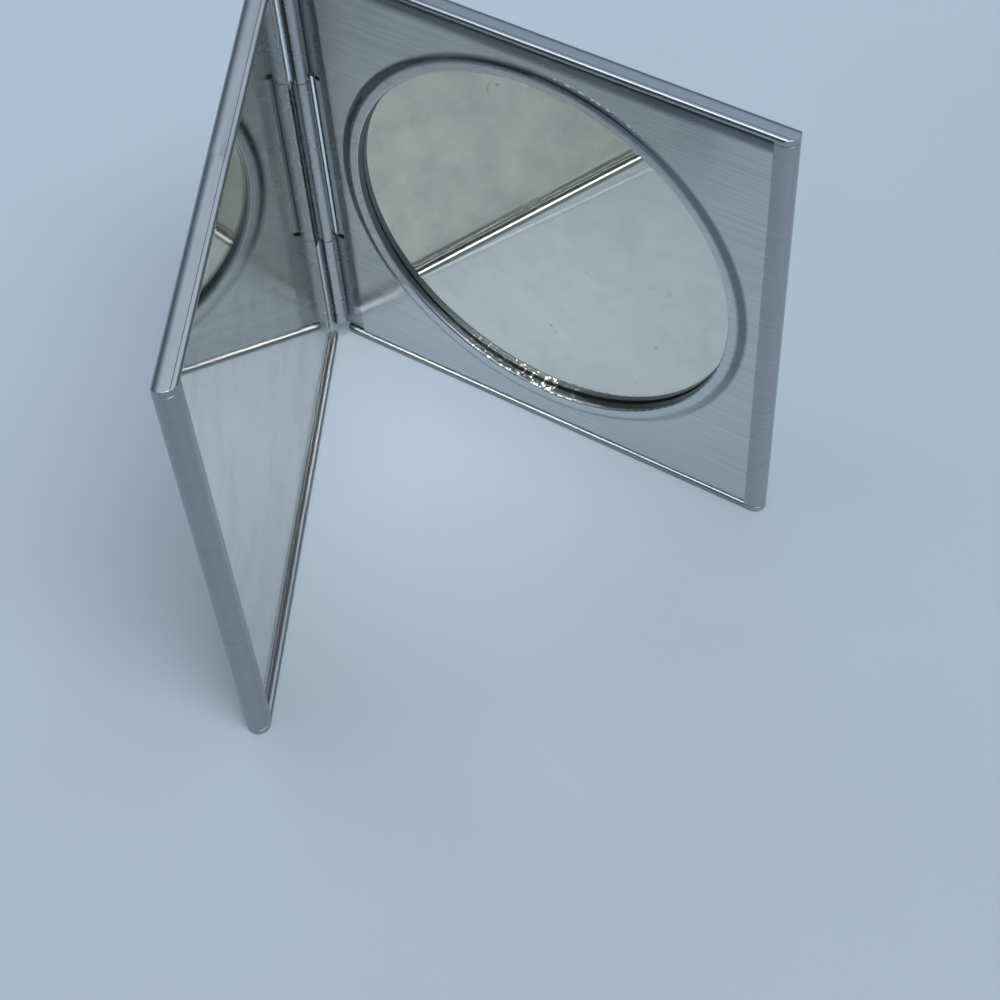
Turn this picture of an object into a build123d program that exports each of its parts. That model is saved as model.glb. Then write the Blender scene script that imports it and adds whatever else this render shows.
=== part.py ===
from build123d import *
import os

# A compact mirror of two sheet metal leaves, standing open on its lower rims.
# All sizes are in millimetres. A leaf is first drawn in its own frame: x runs
# from the hinge axis to the free edge, y from the hinge axis outwards through
# the leaf, and z up from the lower rim. Depths are measured from the inner rim.

# The leaves
leaf_width = 65.0
leaf_height = 64.2
leaf_thick = 2.9
half_gap = 0.2
opening_angle = 63.0

# The outer covers
cover_sheet = 0.35
rim_thick = 0.85
barrel_clearance = 0.3
lip_reach = 2.3
roll_gap = 0.12
back_round = 1.2
inner_round = 0.3
crest_round = 0.4
hinge_corner_round = 0.7

# The rolled hinge
strip_sheet = 0.35
barrel_inset = 2.5
middle_knuckle = 27.0
knuckle_gap = 0.12
seam_gap = 0.08
pin_clearance = 0.03
pin_recess = 0.3
pin_end_round = 0.25

# The strip of the round leaf
slot_width = 1.0
slot_overrun = 0.5
slot_round = 0.45
slot_land = 1.25
weld_land = 3.3

# The strip of the flat leaf
web_clearance = 0.4
foot_length = 5.0

# The brushed plate and its raised ring
lip_clearance = 0.05
plate_sheet = 0.3
plate_low_gap = 0.15
plate_high_gap = 0.3
plate_margin = 2.0
margin_drop = 0.5
plate_corner = 0.6
ring_end_margin = 3.6
ring_free_margin = 3.7
ring_hinge_margin = 0.75
ring_rise = 0.38
step_width = 1.4
ring_flat = 0.8
flange_round = 0.35
flange_gap = 0.05

# The round mirror and what holds it
mirror_margin = 0.7
round_mirror_thick = 0.8
foam_setback = 0.15
foam_ring_thick = 0.8
pad_inset = 2.2
filler_clearance = 0.3

# The flat mirror and what holds it
glass_lip_gap = 0.35
flat_mirror_thick = 1.0
glass_web_gap = 0.9
glass_corner = 0.4
glass_arris = 0.12
flat_foam_thick = 0.25
foam_inset = 0.5
part_clearance = 0.25
overrun = 5.0

# Depths through a leaf, from its inner rim
lip_depth = cover_sheet
plate_depth = lip_depth + lip_clearance
strip_depth = plate_depth + plate_sheet
strip_under_depth = strip_depth + strip_sheet
ring_back_depth = strip_depth - ring_rise
round_mirror_depth = ring_back_depth + foam_ring_thick
round_mirror_back_depth = round_mirror_depth + round_mirror_thick
floor_depth = leaf_thick - cover_sheet
flat_mirror_depth = lip_depth + glass_lip_gap
flat_foam_depth = flat_mirror_depth + flat_mirror_thick
flat_board_depth = flat_foam_depth + flat_foam_thick

# Places along a leaf, from the hinge axis. The wall beside the hinge starts
# behind the barrel, where it clears the barrel's round.
barrel_radius = half_gap + strip_under_depth
bore_radius = barrel_radius - strip_sheet
hinge_side = ((barrel_radius + barrel_clearance) ** 2 - barrel_radius**2) ** 0.5
slot_reach = barrel_radius + slot_width
plate_hinge_edge = slot_reach + slot_land
round_strip_reach = plate_hinge_edge + weld_land
flat_strip_web = hinge_side + cover_sheet + web_clearance
flat_strip_reach = flat_strip_web + foot_length
flat_mirror_hinge_edge = flat_strip_web + strip_sheet + glass_web_gap
roll_radius = leaf_thick / 2
glass_free_edge = leaf_width - roll_radius - lip_clearance

# The ring is the largest that leaves its margins on all four sides.
ring_space = leaf_width - ring_free_margin - plate_hinge_edge - ring_hinge_margin
step_outer_radius = min(leaf_height / 2 - ring_end_margin, ring_space / 2)
step_inner_radius = step_outer_radius - step_width
hole_radius = step_inner_radius - ring_flat - flange_round
round_mirror_radius = step_outer_radius - mirror_margin
foam_ring_inner_radius = hole_radius + plate_sheet + foam_setback
pad_radius = round_mirror_radius - pad_inset
ring_centre_x = leaf_width - ring_free_margin - step_outer_radius
ring_centre_z = leaf_height / 2

# Heights, from the lower rim
middle_low = (leaf_height - middle_knuckle) / 2
middle_high = middle_low + middle_knuckle
barrel_high = leaf_height - barrel_inset
plate_low = rim_thick + plate_low_gap
plate_high = leaf_height - rim_thick - plate_high_gap
plate_flat = (plate_low, plate_high - plate_margin)


# A box from one corner to the other; the depths are counted from the inner rim.
def block(x_span, depth_span, z_span):
    corners = list(zip(x_span, depth_span, z_span))
    low = [min(pair) for pair in zip(*corners)]
    size = [abs(pair[0] - pair[1]) for pair in zip(*corners)]
    place = Pos(low[0], low[1] + half_gap, low[2])
    return place * Box(*size, align=(Align.MIN, Align.MIN, Align.MIN))


# A disc or a hole on the axis of the round mirror, between two depths.
def round_block(radius, depth_span):
    thick = depth_span[1] - depth_span[0]
    disc = Cylinder(radius, thick, align=(Align.CENTER, Align.CENTER, Align.MIN))
    place = Pos(ring_centre_x, half_gap + depth_span[0], ring_centre_z)
    return place * Rot(-90, 0, 0) * disc


# A leaf seen from above: square at the hinge and fully rounded at the free edge.
def plan_outline(x_low, x_high, depth_low, depth_high, corner):
    radius = (depth_high - depth_low) / 2
    length = x_high - radius - x_low
    near = Pos(x_low, half_gap + depth_low) * Rectangle(length, 2 * radius, align=(Align.MIN, Align.MIN))
    near = fillet(near.vertices().group_by(Axis.X)[0], corner)
    far = Pos(x_high - radius, half_gap + depth_low + radius) * Circle(radius)
    return near + far


# A leaf seen along its length: its outer corners are rounder than its inner ones.
def end_outline():
    shape = Rectangle(leaf_thick, leaf_height, align=(Align.MIN, Align.MIN))
    shape = fillet(shape.vertices().group_by(Axis.X)[-1], back_round)
    shape = fillet(shape.vertices().group_by(Axis.X)[0], crest_round)
    return Plane.YZ * Pos(half_gap, 0) * shape


# The lower and the upper rim. Their crests are rounded on both sides.
def rims():
    rim = Rectangle(leaf_thick, rim_thick, align=(Align.MIN, Align.MIN))
    rim = fillet(rim.vertices().group_by(Axis.X)[0], crest_round)
    both = Pos(half_gap, 0) * rim + Pos(half_gap, leaf_height - rim_thick) * rim
    return extrude(Plane.YZ * both, leaf_width)


# A shallow drawn tray. Its free edge is rolled back over the contents.
def outer_cover():
    walls = (rim_thick, leaf_height - rim_thick)
    crests = (rim_thick / 2, leaf_height - rim_thick / 2)
    inside = hinge_side + cover_sheet
    plan = plan_outline(hinge_side, leaf_width, 0, leaf_thick, hinge_corner_round)
    skin = extrude(plan, leaf_height) & extrude(end_outline(), leaf_width)
    inner_plan = plan_outline(inside, leaf_width - cover_sheet, lip_depth, floor_depth, inner_round)
    hollow = Pos(0, 0, walls[0]) * extrude(inner_plan, walls[1] - walls[0])
    mouth = block((0, leaf_width - lip_reach), (-overrun, strip_under_depth), crests) - rims()
    cover = skin - hollow - mouth
    for z, step in ((walls[0], roll_gap), (walls[1], -roll_gap)):
        roll_side = (leaf_width - lip_reach - cover_sheet, leaf_width + overrun)
        cover -= block(roll_side, (-overrun, roll_radius), (z, z + step))
    return cover


# One knuckle rolled round the pin, with the seam where the sheet closes on itself.
def knuckle(z_low, z_high):
    ring = Circle(barrel_radius) - Circle(bore_radius)
    seam_y = bore_radius - seam_gap
    seam = Pos(0, seam_y) * Rectangle(barrel_radius, seam_gap, align=(Align.MIN, Align.MIN))
    return Pos(0, 0, z_low) * extrude(ring - seam, z_high - z_low)


# The strip that carries the two end knuckles, with a slot for the middle one.
# Its far edge is hollowed to pass the round mirror.
def round_leaf_hinge_strip():
    depths = (strip_depth, strip_under_depth)
    strip = block((0, plate_hinge_edge - part_clearance), depths, (barrel_inset, barrel_high))
    strip += block((0, round_strip_reach), depths, plate_flat)
    strip += knuckle(barrel_inset, middle_low - knuckle_gap)
    strip += knuckle(middle_high + knuckle_gap, barrel_high)
    strip -= block((0, barrel_radius), depths, (middle_low - knuckle_gap, middle_high + knuckle_gap))
    slot_z = (middle_low - slot_overrun, middle_high + slot_overrun)
    slot = block((barrel_radius, slot_reach), (0, leaf_thick), slot_z)
    far_edges = slot.edges().filter_by(Axis.Y).group_by(Axis.X)[-1]
    strip -= fillet(far_edges, slot_round)
    strip -= round_block(step_outer_radius + filler_clearance, (0, leaf_thick))
    return strip


# The strip that carries the middle knuckle: a tongue from the barrel, a web
# down behind the glass and a long foot along the floor of the cover.
def flat_leaf_hinge_strip():
    middle = (middle_low, middle_high)
    web = (flat_strip_web, flat_strip_web + strip_sheet)
    strip = knuckle(*middle)
    strip += block((0, web[1]), (strip_depth, strip_under_depth), middle)
    strip += block(web, (strip_depth, floor_depth), middle)
    foot_depths = (floor_depth - strip_sheet, floor_depth)
    strip += block((web[0], flat_strip_reach), foot_depths, (barrel_inset, barrel_high))
    return strip


# The pin through all three knuckles, with rounded ends.
def hinge_pin():
    length = leaf_height - 2 * (barrel_inset + pin_recess)
    pin = Cylinder(bore_radius - pin_clearance, length, align=(Align.CENTER, Align.CENTER, Align.MIN))
    pin = fillet(pin.edges().filter_by(GeomType.CIRCLE), pin_end_round)
    return Pos(0, 0, barrel_inset + pin_recess) * pin


# The section of the plate: flat, with its upper margin turned back.
def plate_outline():
    flat_low = Vector(0, plate_flat[0])
    flat_high = Vector(0, plate_flat[1])
    edge_high = Vector(margin_drop, plate_high)
    back = Vector(plate_sheet, 0)
    upward = Vector(0, 1)
    outline = [Line(flat_low, flat_low + back), Line(edge_high, edge_high + back)]
    for shift in (Vector(0, 0), back):
        outline += [Line(flat_low + shift, flat_high + shift)]
        outline += [TangentArc(flat_high + shift, edge_high + shift, tangent=upward)]
    return Plane.YZ * Pos(half_gap + plate_depth, 0) * make_face(Curve() + outline)


# The brushed inner plate. A soft ring stands up round its hole.
def brushed_plate():
    length = glass_free_edge - plate_hinge_edge
    plate = Pos(plate_hinge_edge, 0, 0) * extrude(plate_outline(), length)
    hinge_corners = plate.edges().filter_by(Axis.Y).group_by(Axis.X)[0]
    plate = fillet(hinge_corners, plate_corner)
    plate -= round_block(step_outer_radius, (0, leaf_thick))
    return plate + raised_ring()


# The section of the ring, turned round the hole: a step of two equal arcs, a
# flat, and a flange that turns back to the round mirror.
def raised_ring():
    start = Vector(step_outer_radius, 0)
    end = Vector(step_inner_radius, -ring_rise)
    middle = (start + end) * 0.5
    bend = Vector(hole_radius + flange_round, -ring_rise)
    down = Vector(0, plate_sheet)
    inward = Vector(-1, 0)
    wall = Vector(hole_radius, flange_round - ring_rise)
    foot = Vector(hole_radius, round_mirror_depth - flange_gap - plate_depth)
    out = Vector(plate_sheet, 0)
    front = [TangentArc(start, middle, tangent=inward), TangentArc(end, middle, tangent=-inward)]
    front += [Line(end, bend), TangentArc(bend, wall, tangent=inward), Line(wall, foot)]
    back = [TangentArc(start + down, middle + down, tangent=inward)]
    back += [TangentArc(end + down, middle + down, tangent=-inward), Line(end + down, bend + down)]
    back += [TangentArc(bend + down, wall + out, tangent=inward), Line(wall + out, foot + out)]
    section = make_face(Curve() + front + back + [Line(start, start + down), Line(foot, foot + out)])
    ring = revolve(section, Axis.Y)
    return Pos(ring_centre_x, half_gap + plate_depth, ring_centre_z) * ring


# A glass disc with a fine arris ground on its front and back edges.
def round_mirror():
    disc = round_block(round_mirror_radius, (round_mirror_depth, round_mirror_back_depth))
    return chamfer(disc.edges().filter_by(GeomType.CIRCLE), glass_arris)


# Foam tape behind the flat of the ring, between the flange and the step.
def round_mirror_foam_ring():
    depths = (ring_back_depth, round_mirror_depth)
    return round_block(step_inner_radius, depths) - round_block(foam_ring_inner_radius, depths)


# The foam pad that holds the round mirror to the floor of the cover.
def round_mirror_pad():
    return round_block(pad_radius, (round_mirror_back_depth, floor_depth))


# Card that fills the leaf round the mirror. It is open towards the hinge, and
# stepped down under the plate's upper margin.
def round_leaf_filler():
    ends = (rim_thick + part_clearance, leaf_height - rim_thick - part_clearance)
    span = (round_strip_reach + filler_clearance, glass_free_edge - inner_round)
    card = block(span, (strip_depth, floor_depth), (ends[0], plate_flat[1]))
    card += block(span, (strip_depth + margin_drop, floor_depth), ends)
    card -= round_block(step_outer_radius + filler_clearance, (0, leaf_thick))
    return card


# The flat mirror under the rolled edge, with a fine ground arris.
def flat_mirror():
    ends = (rim_thick + part_clearance, leaf_height - rim_thick - part_clearance)
    glass = block((flat_mirror_hinge_edge, glass_free_edge), (flat_mirror_depth, flat_foam_depth), ends)
    glass = fillet(glass.edges().filter_by(Axis.Y), glass_corner)
    front = glass.faces().sort_by(Axis.Y)[0]
    return chamfer(front.edges(), glass_arris)


# The foam sheet that beds the flat mirror.
def flat_leaf_foam():
    ends = (rim_thick + foam_inset, leaf_height - rim_thick - foam_inset)
    span = (flat_mirror_hinge_edge + foam_inset, glass_free_edge - foam_inset)
    return block(span, (flat_foam_depth, flat_board_depth), ends)


# The backing card between the foam and the cover, beside the foot of the strip.
def flat_leaf_board():
    ends = (rim_thick + foam_inset, leaf_height - rim_thick - foam_inset)
    span = (flat_strip_reach + part_clearance, glass_free_edge - foam_inset)
    return block(span, (flat_board_depth, floor_depth), ends)


round_leaf = {
    "round_leaf_cover": outer_cover(),
    "round_leaf_filler": round_leaf_filler(),
    "round_leaf_hinge_strip": round_leaf_hinge_strip(),
    "brushed_plate": brushed_plate(),
    "round_mirror_foam_ring": round_mirror_foam_ring(),
    "round_mirror": round_mirror(),
    "round_mirror_pad": round_mirror_pad(),
    "hinge_pin": hinge_pin(),
}
flat_leaf = {
    "flat_leaf_cover": outer_cover(),
    "flat_leaf_board": flat_leaf_board(),
    "flat_leaf_foam": flat_leaf_foam(),
    "flat_mirror": flat_mirror(),
    "flat_leaf_hinge_strip": flat_leaf_hinge_strip(),
}

# The leaves stand half the opening to each side of the x axis.
nodes = {}
for name, piece in round_leaf.items():
    nodes[name] = Rot(0, 0, opening_angle / 2) * piece
for name, piece in flat_leaf.items():
    nodes[name] = Rot(0, 0, -opening_angle / 2) * mirror(piece, about=Plane.XZ)

# The origin goes under the middle of the whole object, at the height it stands on.
boxes = [piece.bounding_box() for piece in nodes.values()]
whole = boxes[0]
for box in boxes[1:]:
    whole = whole.add(box)
to_origin = Pos(-whole.center().X, -whole.center().Y, -whole.min.Z)
print("hinge axis at", to_origin.position)

os.makedirs("parts", exist_ok=True)
for name, piece in nodes.items():
    export_step(to_origin * piece, f"parts/{name}.step")
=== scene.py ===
import bpy
import bmesh
import math
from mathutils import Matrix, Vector


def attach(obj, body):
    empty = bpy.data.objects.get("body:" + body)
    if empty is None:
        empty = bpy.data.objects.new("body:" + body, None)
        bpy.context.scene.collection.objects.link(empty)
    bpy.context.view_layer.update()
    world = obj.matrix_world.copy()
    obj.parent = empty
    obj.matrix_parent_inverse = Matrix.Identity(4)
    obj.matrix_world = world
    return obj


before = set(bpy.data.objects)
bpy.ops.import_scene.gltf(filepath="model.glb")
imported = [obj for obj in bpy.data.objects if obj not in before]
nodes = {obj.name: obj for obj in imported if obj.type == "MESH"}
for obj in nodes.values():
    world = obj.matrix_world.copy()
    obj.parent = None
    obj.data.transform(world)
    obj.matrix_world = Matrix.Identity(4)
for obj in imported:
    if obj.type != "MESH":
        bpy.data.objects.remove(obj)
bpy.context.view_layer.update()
print("frame loaded with", len(nodes), "nodes")

scene = bpy.context.scene
scene.view_settings.view_transform = "Standard"

# where the leaves stand: the hinge axis, half the opening and half the gap between the rims
hingeAxis = Vector((-0.0267616, 0.0, 0.0))
halfOpening = math.radians(31.5)
halfGap = 0.0002
leafTurn = {"round_leaf": halfOpening, "flat_leaf": -halfOpening}


# a point of a leaf: along it from the hinge axis, into it from its inner rim, and up
def leafPoint(body, along, depth, height):
    side = 1 if body == "round_leaf" else -1
    through = halfGap + depth
    x = along * math.cos(halfOpening) - through * math.sin(halfOpening)
    y = along * math.sin(halfOpening) + through * math.cos(halfOpening)
    return hingeAxis + Vector((x, side * y, height))


# small helpers for shader trees

def addNode(tree, kind, spot=(0, 0), values=None, **settings):
    node = tree.nodes.new(kind)
    node.location = spot
    for key, value in settings.items():
        setattr(node, key, value)
    for key, value in (values or {}).items():
        node.inputs[key].default_value = value
    return node


def mapRange(tree, spot, source, target=(0.0, 1.0), **settings):
    values = {"From Min": source[0], "From Max": source[1], "To Min": target[0], "To Max": target[1]}
    return addNode(tree, "ShaderNodeMapRange", spot, values, **settings)


def join(tree, fromNode, fromSocket, toNode, toSocket):
    tree.links.new(fromNode.outputs[fromSocket], toNode.inputs[toSocket])


def newGroup(name, inputs, outputs):
    group = bpy.data.node_groups.new(name, "ShaderNodeTree")
    for socketName, kind, value in inputs:
        socket = group.interface.new_socket(socketName, in_out="INPUT", socket_type=kind)
        if value is not None:
            socket.default_value = value
    for socketName, kind in outputs:
        group.interface.new_socket(socketName, in_out="OUTPUT", socket_type=kind)
    return group, addNode(group, "NodeGroupInput", (-1200, 0)), addNode(group, "NodeGroupOutput", (900, 0))


def useGroup(tree, group, spot, values=None):
    node = addNode(tree, "ShaderNodeGroup", spot, node_tree=group)
    for key, value in (values or {}).items():
        node.inputs[key].default_value = value
    return node


grainLook = {
    "detailShare": 0.58, "rim": (0.55, 0.8), "ridge": (0.68, 0.78),
    "fine": (1.0, 1.0, 3.0), "broad": (0.5, 0.11, 4.0), "scratch": (0.8, 0.6, 1.0),  # along, across, detail
}


# brushed grain: streaks that run along the leaf, in metres of the leaf's own frame
def makeBrushGrain():
    group, start, end = newGroup(
        "brushGrain",
        [("Vector", "NodeSocketVector", None),
         ("Along", "NodeSocketFloat", 45.0), ("Across", "NodeSocketFloat", 4200.0)],
        [("Fine", "NodeSocketFloat"), ("Broad", "NodeSocketFloat"), ("Scratch", "NodeSocketFloat")])
    parts = addNode(group, "ShaderNodeSeparateXYZ", (-1000, 0))
    join(group, start, "Vector", parts, 0)

    # walls are brushed by height, rims that face up or down by depth
    geometry = addNode(group, "ShaderNodeNewGeometry", (-1000, -300))
    facing = addNode(group, "ShaderNodeSeparateXYZ", (-800, -300))
    join(group, geometry, "Normal", facing, 0)
    upness = addNode(group, "ShaderNodeMath", (-600, -300), operation="ABSOLUTE")
    join(group, facing, "Z", upness, 0)
    isRim = mapRange(group, (-400, -300), grainLook["rim"])
    join(group, upness, 0, isRim, "Value")
    across = addNode(group, "ShaderNodeMix", (-200, -200))
    join(group, isRim, "Result", across, "Factor")
    join(group, parts, "Z", across, "A")
    join(group, parts, "Y", across, "B")

    def streaks(shares, spot):
        alongShare, acrossShare, detail = shares
        alongScale = addNode(
            group, "ShaderNodeMath", (spot[0] - 400, spot[1] + 60), {1: alongShare},
            operation="MULTIPLY")
        acrossScale = addNode(
            group, "ShaderNodeMath", (spot[0] - 400, spot[1] - 100), {1: acrossShare},
            operation="MULTIPLY")
        join(group, start, "Along", alongScale, 0)
        join(group, start, "Across", acrossScale, 0)
        alongPlace = addNode(group, "ShaderNodeMath", (spot[0] - 200, spot[1] + 60), operation="MULTIPLY")
        acrossPlace = addNode(group, "ShaderNodeMath", (spot[0] - 200, spot[1] - 100), operation="MULTIPLY")
        join(group, parts, "X", alongPlace, 0)
        join(group, alongScale, 0, alongPlace, 1)
        join(group, across, "Result", acrossPlace, 0)
        join(group, acrossScale, 0, acrossPlace, 1)
        place = addNode(group, "ShaderNodeCombineXYZ", spot)
        join(group, alongPlace, 0, place, "X")
        join(group, acrossPlace, 0, place, "Y")
        noise = addNode(
            group, "ShaderNodeTexNoise", (spot[0] + 200, spot[1]),
            {"Scale": 1.0, "Detail": detail, "Roughness": grainLook["detailShare"]},
            noise_dimensions="2D")
        join(group, place, 0, noise, "Vector")
        return noise

    join(group, streaks(grainLook["fine"], (200, 400)), "Fac", end, "Fine")
    join(group, streaks(grainLook["broad"], (200, 100)), "Fac", end, "Broad")
    ridge = mapRange(group, (620, -300), grainLook["ridge"])
    join(group, streaks(grainLook["scratch"], (200, -300)), "Fac", ridge, "Value")
    join(group, ridge, "Result", end, "Scratch")
    return group


rubLook = {"radius": 0.00012, "samples": 6, "edge": (0.995, 0.86), "broken": (0.35, 0.6), "least": 0.35}


# rubbed edges: where the rounded normal leaves the true one, broken up by noise
def makeEdgeRub():
    group, start, end = newGroup(
        "edgeRub",
        [("Vector", "NodeSocketVector", None), ("Breakup", "NodeSocketFloat", 900.0)],
        [("Mask", "NodeSocketFloat"), ("Normal", "NodeSocketVector")])
    bevel = addNode(
        group, "ShaderNodeBevel", (-600, 200), {"Radius": rubLook["radius"]}, samples=rubLook["samples"])
    geometry = addNode(group, "ShaderNodeNewGeometry", (-600, 0))
    dot = addNode(group, "ShaderNodeVectorMath", (-400, 100), operation="DOT_PRODUCT")
    join(group, bevel, "Normal", dot, 0)
    join(group, geometry, "Normal", dot, 1)
    edge = mapRange(group, (-200, 100), rubLook["edge"])
    join(group, dot, "Value", edge, "Value")
    noise = addNode(group, "ShaderNodeTexNoise", (-400, -200), {"Detail": 4.0})
    join(group, start, "Vector", noise, "Vector")
    join(group, start, "Breakup", noise, "Scale")
    broken = mapRange(group, (-200, -200), rubLook["broken"], (rubLook["least"], 1.0))
    join(group, noise, "Fac", broken, "Value")
    mask = addNode(group, "ShaderNodeMath", (0, 0), operation="MULTIPLY")
    join(group, edge, "Result", mask, 0)
    join(group, broken, "Result", mask, 1)
    join(group, mask, 0, end, "Mask")
    join(group, bevel, "Normal", end, "Normal")
    return group


markLook = {
    "bend": 0.012, "smear": (0.42, 0.72),
    "cells": 420.0, "speck": (0.16, 0.05), "someScale": 95.0, "few": (0.58, 0.66),
}


# smears and faint marks left by hands and cloths
def makeHandMarks():
    group, start, end = newGroup(
        "handMarks",
        [("Vector", "NodeSocketVector", None), ("Scale", "NodeSocketFloat", 60.0)],
        [("Smear", "NodeSocketFloat"), ("Specks", "NodeSocketFloat")])
    warp = addNode(group, "ShaderNodeTexNoise", (-800, 0), {"Detail": 2.0})
    join(group, start, "Vector", warp, "Vector")
    join(group, start, "Scale", warp, "Scale")
    bent = addNode(group, "ShaderNodeVectorMath", (-600, 0), {"Scale": markLook["bend"]}, operation="SCALE")
    join(group, warp, "Color", bent, 0)
    moved = addNode(group, "ShaderNodeVectorMath", (-400, 0), operation="ADD")
    join(group, start, "Vector", moved, 0)
    join(group, bent, 0, moved, 1)
    smear = addNode(group, "ShaderNodeTexNoise", (-200, 100), {"Detail": 5.0, "Roughness": 0.6})
    join(group, moved, 0, smear, "Vector")
    join(group, start, "Scale", smear, "Scale")
    spread = mapRange(group, (0, 100), markLook["smear"])
    join(group, smear, "Fac", spread, "Value")
    join(group, spread, "Result", end, "Smear")
    cells = addNode(
        group, "ShaderNodeTexVoronoi", (-200, -200), {"Scale": markLook["cells"], "Randomness": 1.0})
    join(group, moved, 0, cells, "Vector")
    near = mapRange(group, (0, -200), markLook["speck"])
    join(group, cells, "Distance", near, "Value")
    some = addNode(
        group, "ShaderNodeTexNoise", (-200, -450), {"Scale": markLook["someScale"], "Detail": 1.0})
    join(group, start, "Vector", some, "Vector")
    few = mapRange(group, (0, -450), markLook["few"])
    join(group, some, "Fac", few, "Value")
    specks = addNode(group, "ShaderNodeMath", (200, -300), operation="MULTIPLY")
    join(group, near, "Result", specks, 0)
    join(group, few, "Result", specks, 1)
    join(group, specks, 0, end, "Specks")
    return group


brushGrain = makeBrushGrain()
edgeRub = makeEdgeRub()
handMarks = makeHandMarks()
print("effect groups made")


def newMaterial(name):
    material = bpy.data.materials.new(name)
    material.use_nodes = True
    tree = material.node_tree
    tree.nodes.clear()
    surface = addNode(tree, "ShaderNodeBsdfPrincipled", (600, 0))
    output = addNode(tree, "ShaderNodeOutputMaterial", (900, 0))
    join(tree, surface, "BSDF", output, "Surface")
    return material, tree, surface


# leaf coordinates: x from the hinge axis along the leaf, y through it, z up
def leafVector(tree, body):
    coordinate = addNode(tree, "ShaderNodeTexCoord", (-1400, 0))
    mapping = addNode(tree, "ShaderNodeMapping", (-1200, 0), vector_type="TEXTURE")
    mapping.inputs["Location"].default_value = hingeAxis
    mapping.inputs["Rotation"].default_value = (0, 0, leafTurn[body])
    join(tree, coordinate, "Object", mapping, "Vector")
    return mapping


# how far a point of the leaf lies from a centre, and in which direction, both seen from the front
def fromCentre(tree, place, centre, spot):
    flat = addNode(tree, "ShaderNodeVectorMath", spot, {1: (1, 0, 1)}, operation="MULTIPLY")
    join(tree, place, "Vector", flat, 0)
    middle = (centre["along"], 0, centre["height"])
    away = addNode(
        tree, "ShaderNodeVectorMath", (spot[0] + 150, spot[1]), {1: middle}, operation="SUBTRACT")
    join(tree, flat, 0, away, 0)
    distance = addNode(tree, "ShaderNodeVectorMath", (spot[0] + 300, spot[1]), operation="LENGTH")
    join(tree, away, 0, distance, 0)
    heading = addNode(tree, "ShaderNodeVectorMath", (spot[0] + 300, spot[1] + 200), operation="NORMALIZE")
    join(tree, away, 0, heading, 0)
    return distance, heading


# 1 where a heading lies near the given turn, 0 elsewhere
def nearTurn(tree, heading, degrees, fade, spot):
    turn = math.radians(degrees)
    toward = (math.cos(turn), 0, math.sin(turn))
    facing = addNode(tree, "ShaderNodeVectorMath", spot, {1: toward}, operation="DOT_PRODUCT")
    join(tree, heading, 0, facing, 0)
    sector = mapRange(tree, (spot[0] + 150, spot[1]), fade)
    join(tree, facing, "Value", sector, "Value")
    return sector


# the cut wall of the hole: painted dark as shade in its recess and dull, with bright burrs low down on one
# side
def holeWall(tree, place, hole):
    distance, heading = fromCentre(tree, place, hole, (-1000, 900))
    wall = mapRange(tree, (-550, 900), (hole["radius"] + hole["fade"], hole["radius"]))
    join(tree, distance, "Value", wall, "Value")
    sector = nearTurn(tree, heading, hole["burrTurn"], hole["burrSector"], (-550, 1100))
    cells = addNode(tree, "ShaderNodeTexVoronoi", (-700, 1300), {"Scale": hole["burrScale"]})
    join(tree, place, "Vector", cells, "Vector")
    spots = mapRange(tree, (-400, 1300), hole["burrSpot"])
    join(tree, cells, "Distance", spots, "Value")
    shares = addNode(tree, "ShaderNodeSeparateColor", (-550, 1450))
    join(tree, cells, "Color", shares, "Color")
    picked = addNode(tree, "ShaderNodeMath", (-400, 1450), {1: hole["burrShare"]}, operation="LESS_THAN")
    join(tree, shares, "Red", picked, 0)
    chosen = addNode(tree, "ShaderNodeMath", (-250, 1300), operation="MULTIPLY")
    join(tree, spots, "Result", chosen, 0)
    join(tree, picked, 0, chosen, 1)
    local = addNode(tree, "ShaderNodeMath", (-250, 1100), operation="MULTIPLY")
    join(tree, wall, "Result", local, 0)
    join(tree, sector, "Result", local, 1)
    burrs = addNode(tree, "ShaderNodeMath", (-100, 1100), operation="MULTIPLY")
    join(tree, local, 0, burrs, 0)
    join(tree, chosen, 0, burrs, 1)
    torn = addNode(tree, "ShaderNodeTexNoise", (-400, 1600), {"Scale": hole["tornScale"], "Detail": 2.0})
    join(tree, place, "Vector", torn, "Vector")
    height = addNode(tree, "ShaderNodeMath", (-100, 1300), operation="MULTIPLY")
    join(tree, local, 0, height, 0)
    join(tree, torn, "Fac", height, 1)
    return wall, burrs, height
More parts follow.
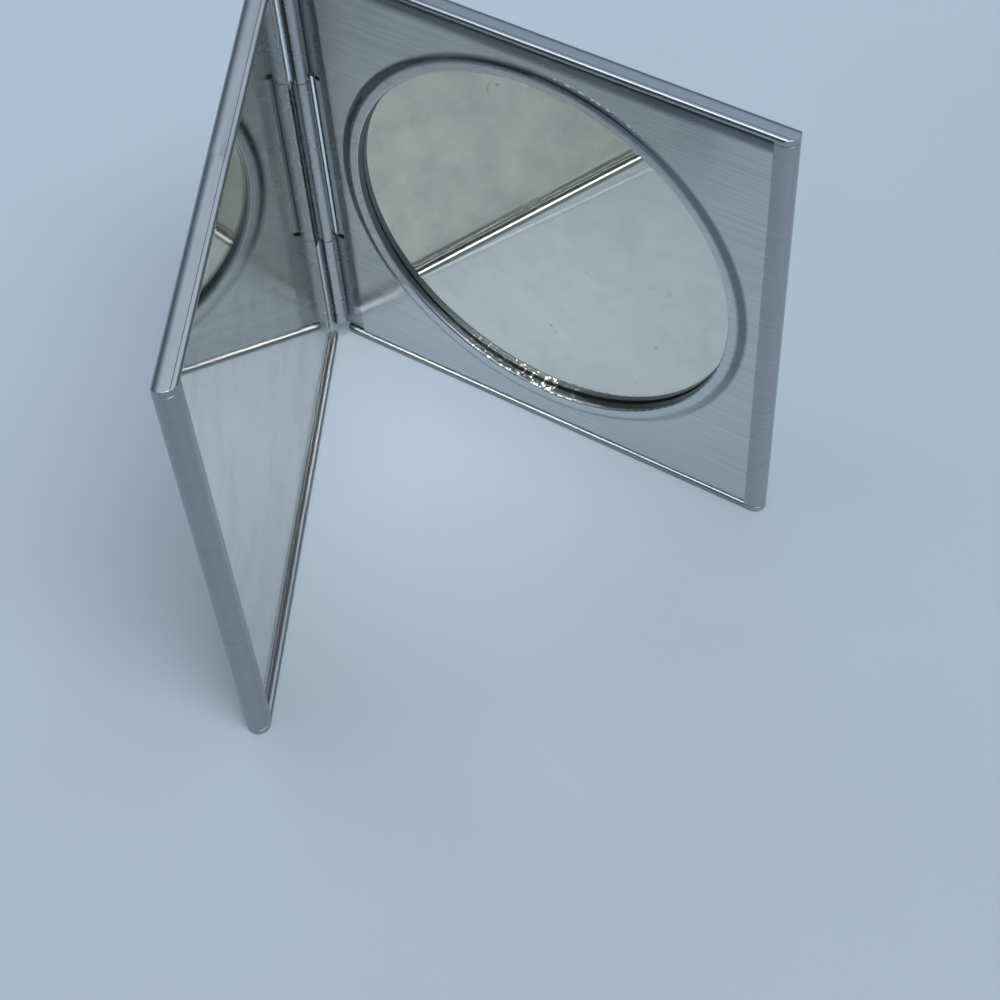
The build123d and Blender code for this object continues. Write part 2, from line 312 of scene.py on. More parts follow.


# painted shade on the ring's outer step and the turned-back margin, less at the ring's foot, and a few
# painted glints, white non-metal spots, on the step's outer line
def shadedSteps(tree, place, shade, colour):
    distance, heading = fromCentre(tree, place, shade, (-1000, 2000))
    offset = addNode(tree, "ShaderNodeMath", (-550, 2000), {1: shade["radius"]}, operation="SUBTRACT")
    join(tree, distance, "Value", offset, 0)
    apart = addNode(tree, "ShaderNodeMath", (-400, 2000), operation="ABSOLUTE")
    join(tree, offset, 0, apart, 0)
    onStep = mapRange(tree, (-250, 2000), (shade["half"] + shade["soft"], shade["half"]))
    join(tree, apart, 0, onStep, "Value")
    rise = addNode(tree, "ShaderNodeSeparateXYZ", (-550, 2200))
    join(tree, heading, 0, rise, 0)
    foot = mapRange(tree, (-400, 2200), shade["footRise"], (shade["foot"], 1.0))
    join(tree, rise, "Z", foot, "Value")
    step = addNode(tree, "ShaderNodeMath", (-100, 2000), operation="MULTIPLY")
    join(tree, onStep, "Result", step, 0)
    join(tree, foot, "Result", step, 1)
    parts = addNode(tree, "ShaderNodeSeparateXYZ", (-550, 2400))
    join(tree, place, "Vector", parts, 0)
    onMargin = mapRange(tree, (-400, 2400), shade["margin"])
    join(tree, parts, "Z", onMargin, "Value")
    most = addNode(tree, "ShaderNodeMath", (50, 2000), operation="MAXIMUM")
    join(tree, step, 0, most, 0)
    join(tree, onMargin, "Result", most, 1)
    # painted shade: the step and the margin are multiplied by a dark tone
    shaded = addNode(
        tree, "ShaderNodeMix", (200, 900), {"B": shade["tone"]}, data_type="RGBA", blend_type="MULTIPLY")
    join(tree, most, 0, shaded, "Factor")
    join(tree, colour, "Result", shaded, "A")
    offLine = addNode(tree, "ShaderNodeMath", (-550, 2600), {1: shade["glintRadius"]}, operation="SUBTRACT")
    join(tree, distance, "Value", offLine, 0)
    fromLine = addNode(tree, "ShaderNodeMath", (-400, 2600), operation="ABSOLUTE")
    join(tree, offLine, 0, fromLine, 0)
    onLine = mapRange(tree, (-250, 2600), (shade["glintHalf"], shade["glintHalf"] / 2))
    join(tree, fromLine, 0, onLine, "Value")
    sector = nearTurn(tree, heading, shade["glintTurn"], shade["glintSector"], (-550, 2800))
    cells = addNode(tree, "ShaderNodeTexVoronoi", (-550, 3000), {"Scale": shade["glintScale"]})
    join(tree, place, "Vector", cells, "Vector")
    spots = mapRange(tree, (-400, 3000), shade["glintSpot"])
    join(tree, cells, "Distance", spots, "Value")
    there = addNode(tree, "ShaderNodeMath", (-100, 2700), operation="MULTIPLY")
    join(tree, onLine, "Result", there, 0)
    join(tree, sector, "Result", there, 1)
    paintedGlints = addNode(tree, "ShaderNodeMath", (50, 2700), operation="MULTIPLY")
    join(tree, there, 0, paintedGlints, 0)
    join(tree, spots, "Result", paintedGlints, 1)
    # painted glints: white spots mixed into the colour on the step's outer line
    glinted = addNode(tree, "ShaderNodeMix", (350, 900), {"B": shade["glintColour"]}, data_type="RGBA")
    join(tree, paintedGlints, 0, glinted, "Factor")
    join(tree, shaded, "Result", glinted, "A")
    dull = addNode(tree, "ShaderNodeMath", (200, 2700), {0: 1.0}, operation="SUBTRACT")
    join(tree, paintedGlints, 0, dull, 1)
    return glinted, dull


# rim faces that look up or down get a painted lighter, bluish crown, with a fine dark line where the sheet
# is folded back on itself
def hemLineAndCrownLight(tree, place, hem, colour):
    parts = addNode(tree, "ShaderNodeSeparateXYZ", (-1000, 1500))
    join(tree, place, "Vector", parts, 0)
    away = addNode(tree, "ShaderNodeMath", (-700, 1500), {1: hem["depth"]}, operation="SUBTRACT")
    if hem["mirrored"]:
        flipped = addNode(tree, "ShaderNodeMath", (-850, 1500), {1: -1.0}, operation="MULTIPLY")
        join(tree, parts, "Y", flipped, 0)
        join(tree, flipped, 0, away, 0)
    else:
        join(tree, parts, "Y", away, 0)
    near = addNode(tree, "ShaderNodeMath", (-550, 1500), operation="ABSOLUTE")
    join(tree, away, 0, near, 0)
    line = mapRange(tree, (-400, 1500), (hem["half"], hem["half"] / 3))
    join(tree, near, 0, line, "Value")
    geometry = addNode(tree, "ShaderNodeNewGeometry", (-1000, 1700))
    facing = addNode(tree, "ShaderNodeSeparateXYZ", (-850, 1700))
    join(tree, geometry, "Normal", facing, 0)
    upness = addNode(tree, "ShaderNodeMath", (-700, 1700), operation="ABSOLUTE")
    join(tree, facing, "Z", upness, 0)
    isRim = mapRange(tree, (-550, 1700), hem["upness"])
    join(tree, upness, 0, isRim, "Value")
    mask = addNode(tree, "ShaderNodeMath", (-250, 1500), operation="MULTIPLY")
    join(tree, line, "Result", mask, 0)
    join(tree, isRim, "Result", mask, 1)
    # painted light: the crown colour stands in for light on the rims
    litCrown = addNode(tree, "ShaderNodeMix", (100, 700), {"B": hem["crownLight"]}, data_type="RGBA")
    join(tree, isRim, "Result", litCrown, "Factor")
    join(tree, colour, "Result", litCrown, "A")
    seamed = addNode(tree, "ShaderNodeMix", (250, 700), {"B": hem["colour"]}, data_type="RGBA")
    join(tree, mask, 0, seamed, "Factor")
    join(tree, litCrown, "Result", seamed, "A")
    return seamed


metalShape = {"grain": (0.3, 0.7), "scratch": -0.6, "bumpDepth": 0.00001, "brushTurn": 0.25}


# brushed sheet metal with streaks, rubbed edges and faint smears
def brushedMetal(name, body, look):
    material, tree, surface = newMaterial(name)
    place = leafVector(tree, body)
    grain = useGroup(tree, brushGrain, (-900, 200), {"Along": look["along"], "Across": look["across"]})
    marks = useGroup(tree, handMarks, (-900, -350), {"Scale": look["smearScale"]})
    for effect in (grain, marks):
        join(tree, place, "Vector", effect, "Vector")
    tone = mapRange(tree, (-650, 350), metalShape["grain"])
    join(tree, grain, "Fine", tone, "Value")
    streaks = addNode(
        tree, "ShaderNodeMix", (-400, 350), {"A": look["dark"], "B": look["light"]}, data_type="RGBA")
    join(tree, tone, "Result", streaks, "Factor")
    band = mapRange(tree, (-650, 600), metalShape["grain"], (1 - look["band"], 1 + look["band"]))
    join(tree, grain, "Broad", band, "Value")
    banded = addNode(tree, "ShaderNodeMix", (-150, 350), data_type="RGBA", blend_type="MULTIPLY")
    banded.inputs["Factor"].default_value = 1.0
    join(tree, streaks, "Result", banded, "A")
    join(tree, band, "Result", banded, "B")
    colour = banded
    if "worn" in look:
        rub = useGroup(tree, edgeRub, (-900, -100))
        join(tree, place, "Vector", rub, "Vector")
        colour = addNode(tree, "ShaderNodeMix", (100, 350), {"B": look["worn"]}, data_type="RGBA")
        join(tree, rub, "Mask", colour, "Factor")
        join(tree, banded, "Result", colour, "A")
    surface.inputs["Metallic"].default_value = 1.0
    if "shade" in look:
        colour, metal = shadedSteps(tree, place, look["shade"], colour)
        join(tree, metal, 0, surface, "Metallic")
    if "hem" in look:
        colour = hemLineAndCrownLight(tree, place, look["hem"], colour)
    rough = mapRange(tree, (-400, 0), metalShape["grain"], look["rough"])
    join(tree, grain, "Fine", rough, "Value")
    smeared = addNode(tree, "ShaderNodeMath", (-150, 0), {1: look["smear"]}, operation="MULTIPLY")
    join(tree, marks, "Smear", smeared, 0)
    total = addNode(tree, "ShaderNodeMath", (100, 0), operation="ADD")
    join(tree, rough, "Result", total, 0)
    join(tree, smeared, 0, total, 1)
    if "hole" in look:
        wall, burrs, ragged = holeWall(tree, place, look["hole"])
        # painted shade: the hole's wall is mixed to a dark slate
        walled = addNode(tree, "ShaderNodeMix", (250, 500), {"B": look["hole"]["wall"]}, data_type="RGBA")
        join(tree, wall, "Result", walled, "Factor")
        join(tree, colour, "Result", walled, "A")
        colour = addNode(tree, "ShaderNodeMix", (400, 500), {"B": look["hole"]["burr"]}, data_type="RGBA")
        join(tree, burrs, 0, colour, "Factor")
        join(tree, walled, "Result", colour, "A")
        dulled = addNode(tree, "ShaderNodeMix", (250, 200), {"B": look["hole"]["dull"]})
        join(tree, wall, "Result", dulled, "Factor")
        join(tree, total, 0, dulled, "A")
        shined = addNode(tree, "ShaderNodeMix", (400, 200), {"B": look["rough"][0]})
        join(tree, burrs, 0, shined, "Factor")
        join(tree, dulled, "Result", shined, "A")
        join(tree, shined, "Result", surface, "Roughness")
    else:
        join(tree, total, 0, surface, "Roughness")
    join(tree, colour, "Result", surface, "Base Color")
    swell = addNode(tree, "ShaderNodeTexNoise", (-650, -600), {"Scale": look["swellScale"], "Detail": 1.0})
    join(tree, place, "Vector", swell, "Vector")
    waves = addNode(tree, "ShaderNodeBump", (-150, -450), {"Strength": 1.0, "Distance": look["swell"]})
    join(tree, swell, "Fac", waves, "Height")
    if "worn" in look:
        join(tree, rub, "Normal", waves, "Normal")
    height = addNode(tree, "ShaderNodeMath", (-400, -250), {1: metalShape["scratch"]}, operation="MULTIPLY")
    join(tree, grain, "Scratch", height, 0)
    heights = addNode(tree, "ShaderNodeMath", (-150, -250), operation="ADD")
    join(tree, grain, "Fine", heights, 0)
    join(tree, height, 0, heights, 1)
    bump = addNode(
        tree, "ShaderNodeBump", (100, -250),
        {"Strength": look["bump"], "Distance": metalShape["bumpDepth"]})
    join(tree, heights, 0, bump, "Height")
    join(tree, waves, "Normal", bump, "Normal")
    if "hole" in look:
        rugged = addNode(
            tree, "ShaderNodeBump", (300, -250),
            {"Strength": 1.0, "Distance": look["hole"]["burrHeight"]})
        join(tree, ragged, 0, rugged, "Height")
        join(tree, bump, "Normal", rugged, "Normal")
        bump = rugged
    join(tree, bump, "Normal", surface, "Normal")
    tangent = addNode(tree, "ShaderNodeTangent", (100, -500), direction_type="RADIAL", axis="Z")
    join(tree, tangent, "Tangent", surface, "Tangent")
    surface.inputs["Anisotropic"].default_value = look["stretch"]
    surface.inputs["Anisotropic Rotation"].default_value = metalShape["brushTurn"]
    return material


# painted shade along the flat glass's ground edges: how near a point of the glass is to them, from 0 inside
# to 1 at the edge, with the hinge's side left out
def glassBorder(tree, place, look):
    parts = addNode(tree, "ShaderNodeSeparateXYZ", (-1000, -400))
    join(tree, place, "Vector", parts, 0)
    toFree = addNode(tree, "ShaderNodeMath", (-500, -300), {0: look["freeEdge"]}, operation="SUBTRACT")
    join(tree, parts, "X", toFree, 1)
    low, high = look["height"]
    middle = addNode(tree, "ShaderNodeMath", (-800, -500), {1: (low + high) / 2}, operation="SUBTRACT")
    join(tree, parts, "Z", middle, 0)
    away = addNode(tree, "ShaderNodeMath", (-650, -500), operation="ABSOLUTE")
    join(tree, middle, 0, away, 0)
    toRim = addNode(tree, "ShaderNodeMath", (-500, -500), {0: (high - low) / 2}, operation="SUBTRACT")
    join(tree, away, 0, toRim, 1)
    nearest = addNode(tree, "ShaderNodeMath", (-350, -400), operation="MINIMUM")
    join(tree, toFree, 0, nearest, 0)
    join(tree, toRim, 0, nearest, 1)
    shade = mapRange(tree, (-200, -400), (look["border"], look["border"] / 2))
    join(tree, nearest, 0, shade, "Value")
    return shade


# clear float glass with its faint green, a little greasy in places; where a border is given, painted shade
# darkens the glass along it
def clearGlass(name, body, look):
    material, tree, surface = newMaterial(name)
    place = leafVector(tree, body)
    marks = useGroup(tree, handMarks, (-900, 0), {"Scale": look["smearScale"]})
    join(tree, place, "Vector", marks, "Vector")
    tint = addNode(
        tree, "ShaderNodeMix", (-400, 300), {"A": look["glass"], "B": look["greasy"]}, data_type="RGBA")
    join(tree, marks, "Smear", tint, "Factor")
    if "border" in look:
        shade = glassBorder(tree, place, look)
        # painted shade: the border is mixed to a dark slate
        borderShaded = addNode(tree, "ShaderNodeMix", (-150, 300), {"B": look["rim"]}, data_type="RGBA")
        join(tree, shade, 0, borderShaded, "Factor")
        join(tree, tint, "Result", borderShaded, "A")
        join(tree, borderShaded, "Result", surface, "Base Color")
        rough = addNode(tree, "ShaderNodeMath", (-150, 0), {1: look["ground"]}, operation="MULTIPLY")
        join(tree, shade, 0, rough, 0)
        join(tree, rough, 0, surface, "Roughness")
    else:
        join(tree, tint, "Result", surface, "Base Color")
        surface.inputs["Roughness"].default_value = 0.0
    surface.inputs["IOR"].default_value = look["ior"]
    surface.inputs["Transmission Weight"].default_value = 1.0
    return material


# the silver coat behind the glass, with the smears and specks that it shows
def silverCoat(name, body, look):
    material, tree, surface = newMaterial(name)
    place = leafVector(tree, body)
    marks = useGroup(tree, handMarks, (-900, 0), {"Scale": look["smearScale"]})
    join(tree, place, "Vector", marks, "Vector")
    tint = addNode(
        tree, "ShaderNodeMix", (-400, 300), {"A": look["clear"], "B": look["hazy"]}, data_type="RGBA")
    join(tree, marks, "Smear", tint, "Factor")
    spotted = addNode(tree, "ShaderNodeMix", (-150, 300), {"B": look["speck"]}, data_type="RGBA")
    join(tree, marks, "Specks", spotted, "Factor")
    join(tree, tint, "Result", spotted, "A")
    join(tree, spotted, "Result", surface, "Base Color")
    rough = mapRange(tree, (-400, 0), (0.0, 1.0), look["rough"])
    join(tree, marks, "Smear", rough, "Value")
    join(tree, rough, "Result", surface, "Roughness")
    surface.inputs["Metallic"].default_value = 1.0
    return material


# a thin coat whose outline is given by points of the leaf, leaning with its depth
def makeCoat(name, body, outline, depthAt, thick, material):
    mesh = bpy.data.meshes.new(name)
    work = bmesh.new()
    front = [
        work.verts.new(leafPoint(body, along, depthAt(along, height), height))
        for along, height in outline]
    back = [
        work.verts.new(leafPoint(body, along, depthAt(along, height) + thick, height))
        for along, height in outline]
    work.faces.new(front)
    work.faces.new(list(reversed(back)))
    for index in range(len(front)):
        after = (index + 1) % len(front)
        work.faces.new((front[index], back[index], back[after], front[after]))
    bmesh.ops.recalc_face_normals(work, faces=work.faces)
    work.to_mesh(mesh)
    work.free()
    mesh.materials.append(material)
    coat = bpy.data.objects.new(name, mesh)
    scene.collection.objects.link(coat)
    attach(coat, body)


fleckBump = {"strength": 0.5, "depth": 0.00005}


# card and foam: dull, with a fine fleck
def dullSheet(name, body, look):
    material, tree, surface = newMaterial(name)
    place = leafVector(tree, body)
    fleck = addNode(tree, "ShaderNodeTexNoise", (-900, 0), {"Scale": look["fleckScale"], "Detail": 4.0})
    join(tree, place, "Vector", fleck, "Vector")
    colour = addNode(
        tree, "ShaderNodeMix", (-400, 200), {"A": look["dark"], "B": look["light"]}, data_type="RGBA")
    join(tree, fleck, "Fac", colour, "Factor")
    join(tree, colour, "Result", surface, "Base Color")
    bump = addNode(
        tree, "ShaderNodeBump", (-150, -200),
        {"Strength": fleckBump["strength"], "Distance": fleckBump["depth"]})
    join(tree, fleck, "Fac", bump, "Height")
    join(tree, bump, "Normal", surface, "Normal")
    surface.inputs["Roughness"].default_value = look["rough"]
    return material


def dress(node, material):
    piece = nodes[node]
    piece.material_slots[0].material = material


plateLook = {
    "along": 40.0, "across": 5200.0, "smearScale": 55.0, "swellScale": 140.0, "swell": 0.00001,
    "dark": (0.55, 0.57, 0.58, 1), "light": (0.655, 0.675, 0.685, 1), "worn": (0.78, 0.79, 0.79, 1),
    "band": 0.02, "rough": (0.14, 0.20), "smear": 0.03, "bump": 0.16, "stretch": 0.5,
    "hole": {
        "along": 0.0328, "height": 0.0321, "radius": 0.02603, "fade": 0.00006,
        # the wall colour is painted shade in the hole's recess
        "wall": (0.17, 0.21, 0.235, 1), "dull": 0.42,
        "burr": (0.97, 0.95, 0.90, 1), "burrTurn": 262.0, "burrSector": (0.94, 0.975),
        "burrSpot": (0.5, 0.38), "burrScale": 2300.0, "burrShare": 0.4,
        "tornScale": 1700.0, "burrHeight": 0.00008,
    },
    # painted shade on the ring's step and the top margin, and painted glints on the step's outer line
    "shade": {
        "along": 0.0328, "height": 0.0321, "radius": 0.0278, "half": 0.0003, "soft": 0.00045,
        "foot": 0.35, "footRise": (-0.9, -0.2),
        "margin": (0.0611, 0.0619), "tone": (0.36, 0.38, 0.42, 1),
        "glintRadius": 0.02845, "glintHalf": 0.00016, "glintTurn": 72.0, "glintSector": (0.965, 0.98),
        "glintScale": 1500.0, "glintSpot": (0.5, 0.4), "glintColour": (0.95, 0.97, 1.0, 1),
    },
}
dress("brushed_plate", brushedMetal("brushedPlate", "round_leaf", plateLook))

roundCoverLook = {
    "along": 40.0, "across": 3600.0, "smearScale": 45.0, "swellScale": 110.0, "swell": 0.000012,
    "dark": (0.39, 0.40, 0.41, 1), "light": (0.43, 0.44, 0.45, 1), "worn": (0.82, 0.83, 0.84, 1),
    "band": 0.02, "rough": (0.21, 0.27), "smear": 0.05, "bump": 0.06, "stretch": 0.35,
    "hem": {
        "depth": 0.0008, "half": 0.00006, "upness": (0.7, 0.9), "mirrored": False,
        # the crown colour is painted light on the rims
        "colour": (0.16, 0.17, 0.19, 1), "crownLight": (0.52, 0.58, 0.64, 1),
    },
}
dress("round_leaf_cover", brushedMetal("roundCover", "round_leaf", roundCoverLook))
# painted shade: the flat leaf's cover is a darker copy of the round one's, and its rims' crowns get lighter
# painted light
shadedFlatCoverLook = dict(
    roundCoverLook, dark=(0.35, 0.36, 0.37, 1), light=(0.38, 0.39, 0.40, 1), rough=(0.28, 0.34))
shadedFlatCoverLook["hem"] = dict(roundCoverLook["hem"], mirrored=True, crownLight=(0.62, 0.68, 0.73, 1))
dress("flat_leaf_cover", brushedMetal("flatCover", "flat_leaf", shadedFlatCoverLook))

stripLook = {
    "along": 20.0, "across": 160.0, "smearScale": 60.0, "swellScale": 160.0, "swell": 0.000002,
    "dark": (0.455, 0.47, 0.48, 1), "light": (0.47, 0.485, 0.495, 1),
    "band": 0.01, "rough": (0.26, 0.28), "smear": 0.01, "bump": 0.01, "stretch": 0.1,
}
for leaf in ("round", "flat"):
    stripMetal = brushedMetal(leaf + "Strip", leaf + "_leaf", stripLook)
    dress(leaf + "_leaf_hinge_strip", stripMetal)
pinLook = dict(stripLook, dark=(0.30, 0.30, 0.31, 1), light=(0.42, 0.42, 0.43, 1))
dress("hinge_pin", brushedMetal("hingePin", "round_leaf", pinLook))

# the folded edge of sheet that shows in the slot beside the middle knuckle
slotSheet = {
    "along": (0.00152, 0.00222), "depth": 0.00074, "drop": 0.0004, "bend": 0.00012, "bendSteps": 6,
    "height": (0.0189, 0.0453), "lip": 0.0003, "lipDip": 0.00002,
    "thick": 0.00012, "thinFrom": 4, "thinShare": 0.7,
}
# painted light: the slot's sheet is a much lighter copy of the strip's metal
litSlotLook = dict(stripLook, dark=(0.80, 0.82, 0.84, 1), light=(0.84, 0.86, 0.88, 1), rough=(0.44, 0.50))


def makeSlotSheet(name, body, look, material):
    near, far = look["along"]
    line = [(near, look["depth"] + look["drop"])]
    for step in range(look["bendSteps"] + 1):
        turn = math.pi / 2 * step / look["bendSteps"]
        line.append((
            near + look["bend"] * (1 - math.cos(turn)),
            look["depth"] + look["bend"] * (1 - math.sin(turn))))
    line += [(far - look["lip"], look["depth"]), (far, look["depth"] + look["lipDip"])]
    inner = []
    for index, (along, depth) in enumerate(line):
        share = 1 if index < look["thinFrom"] else look["thinShare"]
        inner.append((along + look["thick"] * share, depth + look["thick"]))
    loop = line + inner[::-1]
    mesh = bpy.data.meshes.new(name)
    work = bmesh.new()
    low, high = [
        [work.verts.new(leafPoint(body, along, depth, height)) for along, depth in loop]
        for height in look["height"]]
    for index in range(len(loop)):
        after = (index + 1) % len(loop)
        work.faces.new((low[index], low[after], high[after], high[index]))
    work.faces.new(low[::-1])
    work.faces.new(high)
    bmesh.ops.recalc_face_normals(work, faces=work.faces)
    work.to_mesh(mesh)
    work.free()
    mesh.materials.append(material)
    sheet = bpy.data.objects.new(name, mesh)
    scene.collection.objects.link(sheet)
    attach(sheet, body)


makeSlotSheet("slot_sheet", "round_leaf", slotSheet, brushedMetal("slotSheet", "round_leaf", litSlotLook))

# the two mirrors: the glass is the solid itself, the silver lies just inside its back
mirrorLook = {
    "smearScale": 150.0, "ior": 1.5,
    "glass": (0.965, 0.985, 0.945, 1), "greasy": (0.945, 0.965, 0.93, 1),
    "clear": (0.80, 0.775, 0.725, 1), "hazy": (0.67, 0.665, 0.635, 1), "speck": (0.50, 0.51, 0.48, 1),
    "rough": (0.0, 0.02), "coatThick": 0.00002,
}
dress("round_mirror", clearGlass("roundGlass", "round_leaf", mirrorLook))
# the flat glass's rim colour is painted shade along its border
flatGlassLook = dict(
    mirrorLook, freeEdge=0.0635, height=(0.0011, 0.0631), border=0.0010, rim=(0.11, 0.135, 0.145, 1),
    ground=0.35)
dress("flat_mirror", clearGlass("flatGlass", "flat_leaf", flatGlassLook))

# the round one leans a little in its foam: deeper towards the free edge and the foot
roundCoat = {
    "along": 0.0328, "height": 0.0321, "radius": 0.0272, "steps": 144,
    "depth": 0.00147, "leanAlong": 0.0108, "leanUp": -0.0052,
}


def roundCoatDepth(along, height):
    return (roundCoat["depth"] + roundCoat["leanAlong"] * (along - roundCoat["along"])
            + roundCoat["leanUp"] * (height - roundCoat["height"]))


roundOutline = []
for step in range(roundCoat["steps"]):
    turn = 2 * math.pi * step / roundCoat["steps"]
    along = roundCoat["along"] + roundCoat["radius"] * math.cos(turn)
    height = roundCoat["height"] + roundCoat["radius"] * math.sin(turn)
    roundOutline.append((along, height))
roundSilverLook = dict(mirrorLook, clear=(0.835, 0.80, 0.74, 1), hazy=(0.77, 0.75, 0.705, 1))
makeCoat(
    "round_mirror_silver", "round_leaf", roundOutline, roundCoatDepth, mirrorLook["coatThick"],
    silverCoat("roundSilver", "round_leaf", roundSilverLook))

flatCoat = {
    "along": (0.00302, 0.0635), "height": (0.0011, 0.0631), "depth": 0.00166,
    "edge": 0.00015, "corner": 0.0004, "cornerSteps": 4,
}
flatOutline = []
for cornerAlong, cornerHeight, firstTurn in ((1, 1, 0), (0, 1, 1), (0, 0, 2), (1, 0, 3)):
    inset = flatCoat["edge"] + flatCoat["corner"]
    centreAlong = flatCoat["along"][cornerAlong] + (-inset if cornerAlong else inset)
    centreHeight = flatCoat["height"][cornerHeight] + (-inset if cornerHeight else inset)
    for step in range(flatCoat["cornerSteps"] + 1):
        turn = math.pi / 2 * (firstTurn + step / flatCoat["cornerSteps"])
        along = centreAlong + flatCoat["corner"] * math.cos(turn)
        height = centreHeight + flatCoat["corner"] * math.sin(turn)
        flatOutline.append((along, height))
makeCoat(
    "flat_mirror_silver", "flat_leaf", flatOutline, lambda along, height: flatCoat["depth"],
    mirrorLook["coatThick"], silverCoat("flatSilver", "flat_leaf", mirrorLook))

foamLook = {
    "fleckScale": 2500.0, "dark": (0.045, 0.05, 0.055, 1), "light": (0.085, 0.095, 0.10, 1),
    "rough": 0.85,
}
# painted light: the ring's foam is a lighter copy of the foam, so the gap behind the hole's wall shows
# lighter
lightenedRingFoamLook = dict(foamLook, dark=(0.13, 0.16, 0.18, 1), light=(0.18, 0.21, 0.235, 1))
dress("round_mirror_foam_ring", dullSheet("foamRing", "round_leaf", lightenedRingFoamLook))
dress("flat_leaf_foam", dullSheet("foamSheet", "flat_leaf", foamLook))
cardLook = {
    "fleckScale": 1800.0, "dark": (0.06, 0.066, 0.072, 1), "light": (0.10, 0.11, 0.118, 1),
    "rough": 0.8,
}
dress("round_leaf_filler", dullSheet("fillerCard", "round_leaf", cardLook))
dress("flat_leaf_board", dullSheet("backCard", "flat_leaf", cardLook))
padLook = {"fleckScale": 900.0, "dark": (0.50, 0.49, 0.46, 1), "light": (0.60, 0.59, 0.56, 1), "rough": 0.7}
dress("round_mirror_pad", dullSheet("mirrorPad", "round_leaf", padLook))
print("materials set")


# table, light and camera
tableLook = {
    "half": 3.0, "cells": 8, "cloudScale": 32.0, "cloudDetail": 5.0,
    "dark": (0.405, 0.495, 0.59, 1), "light": (0.435, 0.535, 0.635, 1), "rough": 0.55,
    "slope": (-0.08, 0.07), "slopeTone": (1.03, 0.88),
    "far": (0.10, 0.12, 0.145, 1), "fade": (0.35, 0.95),
}


def makeTable():
    mesh = bpy.data.meshes.new("tableTop")
    work = bmesh.new()
    bmesh.ops.create_grid(
        work, x_segments=tableLook["cells"], y_segments=tableLook["cells"], size=tableLook["half"])
    work.to_mesh(mesh)
    work.free()
    table = bpy.data.objects.new("tableTop", mesh)
    scene.collection.objects.link(table)
    material, tree, surface = newMaterial("tableTop")
    place = addNode(tree, "ShaderNodeTexCoord", (-900, 0))
    cloud = addNode(
        tree, "ShaderNodeTexNoise", (-600, 0),
        {"Scale": tableLook["cloudScale"], "Detail": tableLook["cloudDetail"]})
    join(tree, place, "Object", cloud, "Vector")
    colour = addNode(
        tree, "ShaderNodeMix", (-300, 0), {"A": tableLook["dark"], "B": tableLook["light"]},
        data_type="RGBA")
    join(tree, cloud, "Fac", colour, "Factor")
    # painted shade: a little darker towards the front
    parts = addNode(tree, "ShaderNodeSeparateXYZ", (-600, 300))
    join(tree, place, "Object", parts, 0)
    slope = mapRange(tree, (-300, 300), tableLook["slope"], tableLook["slopeTone"])
    join(tree, parts, "X", slope, "Value")
    sloped = addNode(tree, "ShaderNodeMix", (-150, 150), {0: 1.0}, data_type="RGBA", blend_type="MULTIPLY")
    join(tree, colour, "Result", sloped, "A")
    join(tree, slope, "Result", sloped, "B")
    # it sinks into shade away from the object
    away = addNode(tree, "ShaderNodeVectorMath", (-600, -300), operation="LENGTH")
    join(tree, place, "Object", away, 0)
    fade = mapRange(tree, (-300, -300), tableLook["fade"], interpolation_type="SMOOTHSTEP")
    join(tree, away, "Value", fade, "Value")
    shaded = addNode(tree, "ShaderNodeMix", (0, 0), {"B": tableLook["far"]}, data_type="RGBA")
    join(tree, fade, "Result", shaded, "Factor")
    join(tree, sloped, "Result", shaded, "A")
    join(tree, shaded, "Result", surface, "Base Color")
    surface.inputs["Roughness"].default_value = tableLook["rough"]
    mesh.materials.append(material)


makeTable()

# a soft room: dim at the horizon and on the side behind the flat leaf, brighter overhead
skyLook = {
    "steps": (  # height, colour
        (0.0, (0.09, 0.105, 0.12, 1)), (0.3, (0.15, 0.175, 0.20, 1)), (0.6, (0.32, 0.38, 0.44, 1)),
        (0.8, (0.46, 0.53, 0.61, 1)), (1.0, (0.50, 0.57, 0.64, 1)),
    ),
    "side": (-0.7, 0.3), "sideStrength": (0.3, 1.08),
}
world = bpy.data.worlds.new("studio")
scene.world = world
world.use_nodes = True
sky = world.node_tree
sky.nodes.clear()
skyPlace = addNode(sky, "ShaderNodeTexCoord", (-900, 0))
skyParts = addNode(sky, "ShaderNodeSeparateXYZ", (-700, 0))
join(sky, skyPlace, "Generated", skyParts, 0)
skyColour = addNode(sky, "ShaderNodeValToRGB", (-500, 0))
ramp = skyColour.color_ramp
while len(ramp.elements) < len(skyLook["steps"]):
    ramp.elements.new(0.5)
for element, (place, colour) in zip(ramp.elements, skyLook["steps"]):
    element.position = place
    element.color = colour
join(sky, skyParts, "Z", skyColour, "Fac")
skyLight = addNode(sky, "ShaderNodeBackground", (-100, 0))
join(sky, skyColour, "Color", skyLight, "Color")
skySide = mapRange(sky, (-500, -300), skyLook["side"], skyLook["sideStrength"])
join(sky, skyParts, "Y", skySide, "Value")
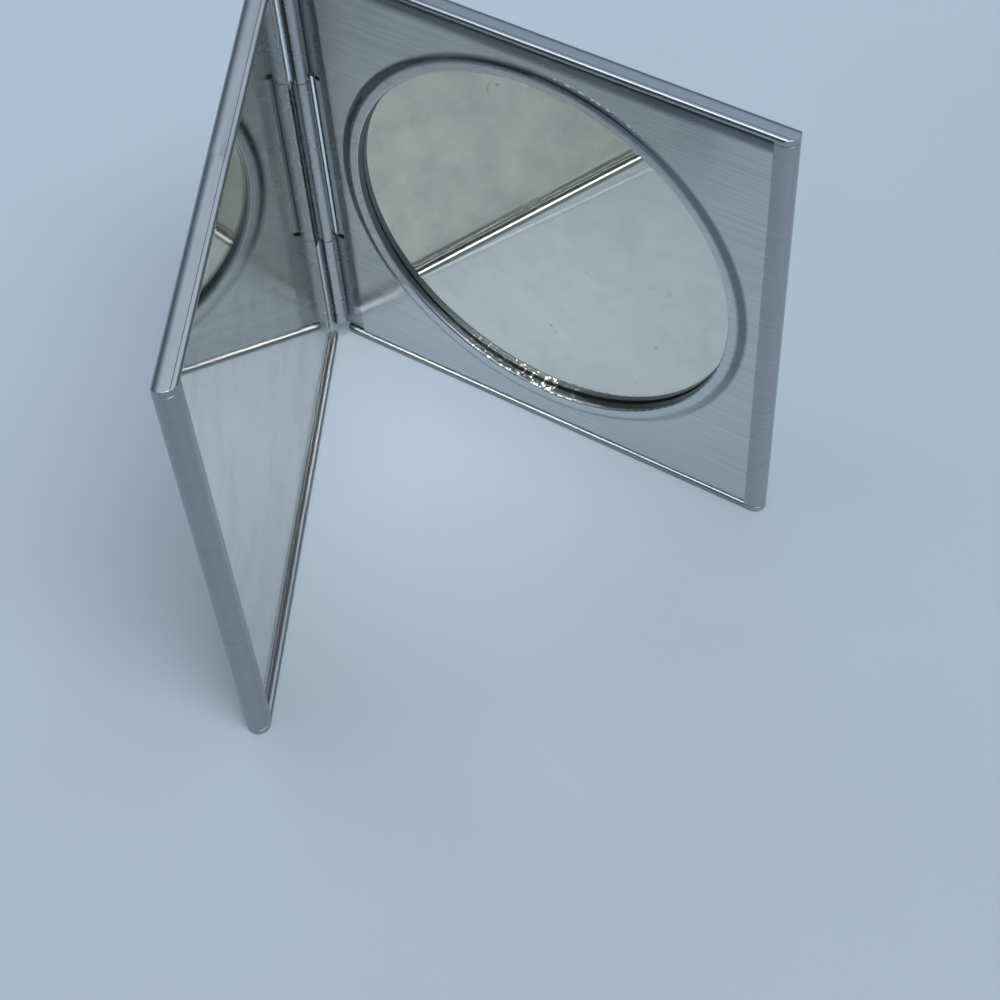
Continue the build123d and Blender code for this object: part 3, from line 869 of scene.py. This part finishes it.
join(sky, skySide, "Result", skyLight, "Strength")
skyEnd = addNode(sky, "ShaderNodeOutputWorld", (200, 0))
join(sky, skyLight, "Background", skyEnd, "Surface")

# the opening lamp shines in between the leaves, the overhead one draws the bright line along
# the rims, and the spot stands for the light that the two mirrors throw on the table
lamps = {
    "overheadLamp": {
        "kind": "AREA", "place": (-0.15, -0.15, 0.95), "aim": (0, 0, 0), "size": 0.45, "power": 1.6,
        "colour": (0.98, 0.99, 1.0)},
    "openingLamp": {
        "kind": "AREA", "place": (1.61, 0.28, 3.09), "aim": (0, 0, 0), "size": 1.9, "power": 81.0,
        "colour": (1.0, 0.99, 0.97)},
    "mirrorSpot": {
        "kind": "SPOT", "place": (-0.005, 0.0, 0.7), "aim": (-0.008, 0, 0), "size": 0.02, "power": 6.2,
        "colour": (1.0, 1.0, 1.0), "cone": 6.4},
}
for name, lamp in lamps.items():
    data = bpy.data.lights.new(name, lamp["kind"])
    if lamp["kind"] == "AREA":
        data.shape = "SQUARE"
        data.size = lamp["size"]
    else:
        data.shadow_soft_size = lamp["size"]
        data.spot_size = math.radians(lamp["cone"])
        data.spot_blend = 1.0
    data.energy = lamp["power"]
    data.color = lamp["colour"]
    lampObject = bpy.data.objects.new(name, data)
    lampObject.location = lamp["place"]
    toward = Vector(lamp["aim"]) - Vector(lamp["place"])
    lampObject.rotation_euler = toward.to_track_quat("-Z", "Y").to_euler()
    scene.collection.objects.link(lampObject)

cameraView = {
    "place": (0.154193, -0.055249, 0.208927), "turn": (36.7144, 2.7053, 63.3003), "lens": 72.367,
    "sensor": 36.0, "near": 0.01,
}
cameraData = bpy.data.cameras.new("camera")
cameraData.sensor_width = cameraView["sensor"]
cameraData.lens = cameraView["lens"]
cameraData.clip_start = cameraView["near"]
camera = bpy.data.objects.new("camera", cameraData)
camera.location = cameraView["place"]
camera.rotation_euler = [math.radians(angle) for angle in cameraView["turn"]]
scene.collection.objects.link(camera)
scene.camera = camera
print("stage, lamps and camera ready")
